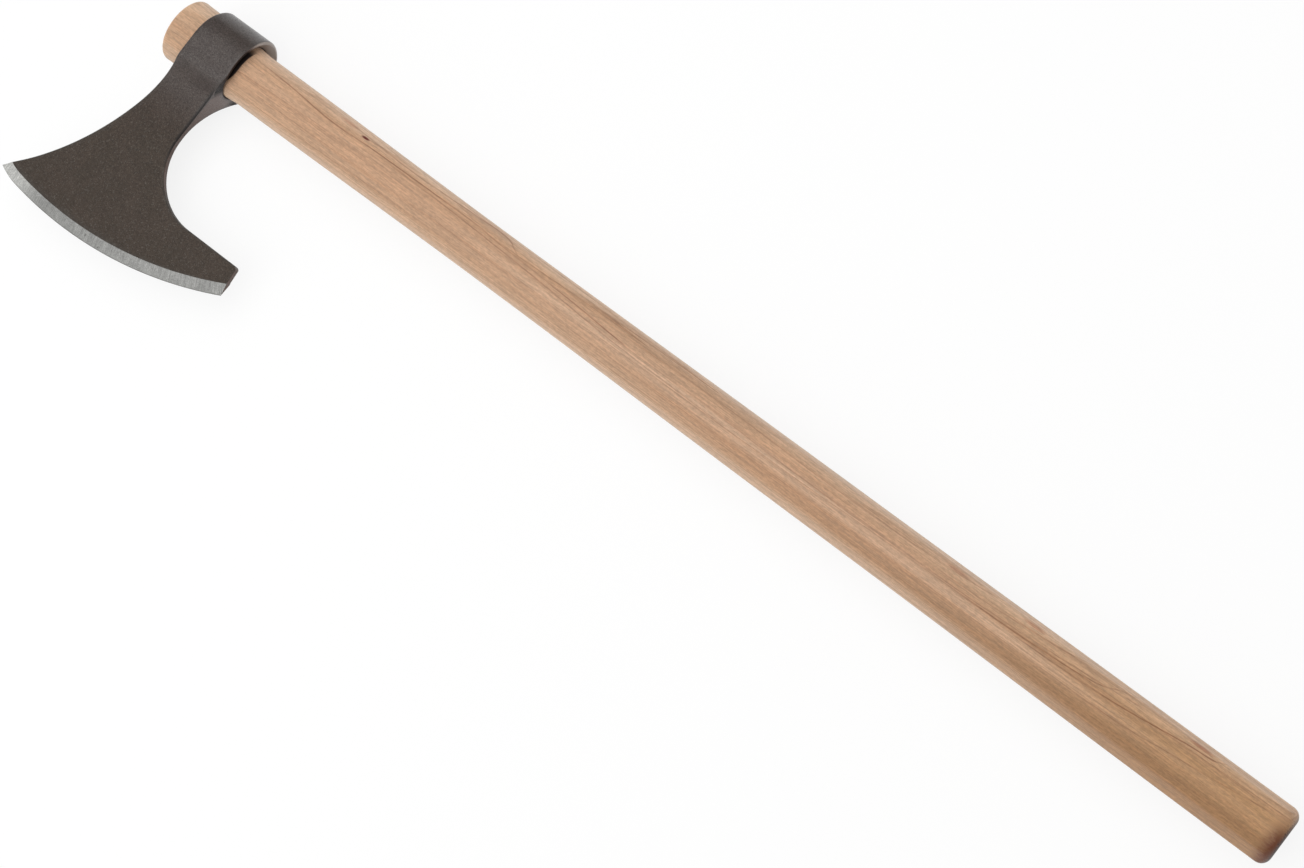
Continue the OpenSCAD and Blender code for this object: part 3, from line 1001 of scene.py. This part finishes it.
def makeCoat():
    c = coat
    material, tree, shader = newMaterial("coatedSteel", c["roughness"], 0.0)
    where, axis = fromTop(tree)
    base = blend(tree, ramp(tree, axis["Y"], *c["eyeFrom"]), c["blade"], c["eye"])
    patches = useGroup(tree, mottle, {
        "Where": where, "Colour": base, "Other": c["patch"], "Scale": 60.0, "Amount": 0.35})
    speck = useGroup(tree, grit, {
        "Where": where, "Colour": patches["Colour"], "Scale": c["gritScale"], "Contrast": c["gritContrast"]})
    facing = split(tree, put(tree, "ShaderNodeNewGeometry").outputs["True Normal"])["X"]
    edge = put(tree, "ShaderNodeAttribute", attribute_name="edgeSharpness").outputs["Fac"]
    wearAndHighlight = times(tree, edge, ramp(tree, noise(tree, where, 260.0), 0.3, 0.7, 0.2, 0.8))
    grains = ramp(tree, noise(tree, where, c["gritScale"] * 0.6, 2.0, 0.7), 0.56, 0.68, 0.0, c["grains"])
    # Painted shade: a dark line along the neck's lower corner
    neckLine = times(tree, ramp(tree, axis["X"], *c["neckAlong"]), ramp(tree, axis["Y"], *c["neckFrom"]))
    neckLine = times(tree, neckLine, ramp(tree, axis["Y"], *c["neckTo"]))
    dark, paintedReflection = eyeMouth(tree, axis)
    # Light grains; painted shade along the edges, with a glint that is partly rubbed wear and partly painted
    # highlight
    layers = [
        (grains, "worn"), (times(tree, edge, 0.5), "edgeShade"), (times(tree, wearAndHighlight, 0.2), "worn"),
        # A painted reflection: the paler tone on faces turned towards the butt end
        (ramp(tree, facing, *c["facingDown"]), "under"),
        (times(tree, ramp(tree, edge, *c["neckEdge"]), neckLine), "edgeShade"),
        # Painted shade in the eye's mouth, and a painted reflection on its face at the poll
        (dark, "gap"), (paintedReflection, "faceReflection")]
    body = speck["Colour"]
    for share, tone in layers:
        body = blend(tree, share, body, c[tone])
    gloss = times(tree, ramp(tree, axis["Y"], *c["glossFrom"]), minus(tree, 1.0, dark))
    gloss = times(tree, gloss, ramp(tree, speck["Height"], 0.38, 0.62, 0.35, 1.0))
    fill(tree, shader, {
        "Base Color": body, "Metallic": times(tree, wearAndHighlight, 0.3),
        "Normal": bump(tree, speck["Height"], 0.8, 0.0006),
        "Roughness": ramp(tree, patches["Mask"], 0.0, 1.0, c["roughness"] - 0.05, c["roughness"] + 0.06),
        "Specular IOR Level": c["specular"], "Coat Weight": gloss, "Coat Roughness": c["glossRoughness"]})
    return material


# Ground finish of the bevel; the edge's dark line, painted shade, is in millimetres inside it, all else in
# metres
ground = {
    "steel": colour(158, 158, 155), "dull": colour(130, 130, 128), "edgeLine": colour(84, 84, 80),
    "lineScale": 2200.0, "lineDraw": 0.06, "edgeInside": (0.55, 0.15), "edgeShare": 0.8,
    "nicks": [((0.0266, -0.1298, 0.0014), 0.0011), ((0.0374, -0.1310, 0.0012), 0.0009)],
    "nickStretch": (1.6, 0.7, 0.2), "nickCore": 0.3, "nickShare": 0.7,
    "paintedToeLight": (-0.044, -0.004, 1.8, 0.88), "roughness": 0.47, "metal": 0.85,
}


def makeGround():
    g = ground
    material, tree, shader = newMaterial("groundSteel", g["roughness"], g["metal"])
    where, axis = fromTop(tree)
    # Grinding lines run across the bevel, so they change along the edge and hardly across it
    centred = put(tree, "ShaderNodeMapping", {
        "Vector": where, "Location": (-edgeCentre.x / 1000, edgeCentre.y / 1000, 0)}).outputs[0]
    parts = split(tree, centred)
    turn = maths(tree, "ARCTAN2", parts["X"], times(tree, parts["Y"], -1.0))
    along = times(tree, turn, head["edgeRadius"] / 1000)
    radius = vector(tree, "LENGTH", joined(tree, parts["X"], parts["Y"], 0.0))
    across, deep = times(tree, radius, g["lineDraw"]), times(tree, parts["Z"], g["lineDraw"])
    lines = noise(tree, joined(tree, along, across, deep), g["lineScale"], 5.0, 0.7)
    base = blend(tree, ramp(tree, lines, 0.3, 0.7), g["dull"], g["steel"])
    patches = useGroup(tree, mottle, {
        "Where": where, "Colour": base, "Other": g["dull"], "Scale": 90.0, "Amount": 0.35})
    speck = useGroup(tree, grit, {
        "Where": where, "Colour": patches["Colour"], "Scale": coat["gritScale"], "Contrast": 0.22})
    # Painted shade: a dark line along the cutting edge
    atEdge = ramp(tree, radius, *((head["edgeRadius"] - inside) / 1000 for inside in g["edgeInside"]))
    body = blend(tree, times(tree, atEdge, g["edgeShare"]), speck["Colour"], g["edgeLine"])
    for nick, size in g["nicks"]:
        near = spot(tree, where, nick, g["nickStretch"], size, size * g["nickCore"])
        body = blend(tree, times(tree, near, g["nickShare"]), body, g["edgeLine"])
    # Painted light: the bevel is brighter towards the toe, where it faces the light, and a little darker
    # further along
    body = scaled(tree, body, ramp(tree, axis["X"], *g["paintedToeLight"]))
    fill(tree, shader, {
        "Base Color": body, "Normal": bump(tree, lines, 0.3, 0.0001),
        "Roughness": ramp(tree, lines, 0.3, 0.7, g["roughness"] + 0.12, g["roughness"] - 0.04)})
    return material


axeHead.data.materials.append(makeCoat())
axeHead.data.materials.append(makeGround())
woodenHaft.data.materials.append(makeWood())
print("finishes made")

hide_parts("axe_head")
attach(axeHead, "head")
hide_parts("haft")
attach(woodenHaft, "haft")

# Studio: a room that is darker towards the butt end and low behind the poll, lamps by place, aim, size
# and watts, a pale floor that glows for the camera, and the camera at the photo's angle
studio = {
    "room": 0.52, "buttShade": 0.3, "pollShade": 0.9,
    "lamps": {"overhead": ((-0.35, 0, 1.5), (-0.15, 0, 0), (3.0, 1.7), 24),
              "bladeSide": ((-0.7, -1.15, 0.8), (-0.25, 0, 0), (1.0, 0.7), 3)},
    "floorSize": 8, "floorColour": (0.9, 0.9, 0.9, 1), "floorRoughness": 0.9, "floorGlow": 0.85,
    "glowFade": (0.45, 0.8, 1.0, 0.2),
    "lens": 72.84, "sensor": 36, "place": (0.403143, 0.05545, 1.39818), "turn": (8.7755, 13.3189, 37.6263),
}


def makeFloorPaint():
    material, tree, shader = newMaterial("paleFloor", studio["floorRoughness"], 0.0)
    fill(tree, shader, {"Base Color": studio["floorColour"]})
    rays = put(tree, "ShaderNodeLightPath").outputs
    away = vector(tree, "LENGTH", put(tree, "ShaderNodeTexCoord").outputs["Object"])
    shine = times(tree, rays["Is Glossy Ray"], ramp(tree, away, *studio["glowFade"]))
    share = times(tree, maths(tree, "MAXIMUM", rays["Is Camera Ray"], shine), studio["floorGlow"])
    glow = put(tree, "ShaderNodeEmission").outputs[0]
    mix = put(tree, "ShaderNodeMixShader", {0: share, 1: shader.outputs[0], 2: glow})
    tree.links.new(mix.outputs[0], tree.nodes["Material Output"].inputs[0])
    return material


# The camera sees the room white
def makeRoom():
    world = bpy.data.worlds.new("studio")
    bpy.context.scene.world = world
    world.use_nodes = True
    tree = world.node_tree
    towards = split(tree, put(tree, "ShaderNodeTexCoord").outputs["Generated"])
    rays = put(tree, "ShaderNodeLightPath").outputs
    behindPoll = times(tree, ramp(tree, towards["Y"], 0.2, 0.7), ramp(tree, towards["Z"], 0.5, 0.2))
    behindPoll = times(tree, behindPoll, rays["Is Glossy Ray"])
    level = minus(tree, 1.0, times(tree, behindPoll, studio["pollShade"]))
    atButt = minus(tree, 1.0, times(tree, ramp(tree, towards["X"], 0.0, 0.6), studio["buttShade"]))
    level = times(tree, level, atButt, studio["room"])
    shown = put(tree, "ShaderNodeMix", {0: rays["Is Camera Ray"], 2: level, 3: 1.0}, data_type="FLOAT")
    fill(tree, tree.nodes["Background"], {"Strength": shown.outputs[0], "Color": (1, 1, 1, 1)})


def addLamp(name, place, aim, size, watts):
    data = bpy.data.lights.new(name, "AREA")
    data.shape = "RECTANGLE"
    data.size, data.size_y = size
    data.energy = watts
    lamp = bpy.data.objects.new(name, data)
    bpy.context.scene.collection.objects.link(lamp)
    lamp.location = place
    lamp.rotation_euler = (Vector(place) - Vector(aim)).to_track_quat("Z", "Y").to_euler()


deselectAll()
bpy.ops.mesh.primitive_plane_add(size=studio["floorSize"], location=(0, 0, 0))
floor = bpy.context.object
floor.name = "floor"
floor.data.materials.append(makeFloorPaint())
makeRoom()
for name, settings in studio["lamps"].items():
    addLamp(name, *settings)

cameraData = bpy.data.cameras.new("camera")
cameraData.lens = studio["lens"]
cameraData.sensor_width = studio["sensor"]
camera = bpy.data.objects.new("camera", cameraData)
bpy.context.scene.collection.objects.link(camera)
camera.location = studio["place"]
camera.rotation_euler = [radians(a) for a in studio["turn"]]
bpy.context.scene.camera = camera
bpy.context.scene.view_settings.view_transform = "Standard"
print("studio set")
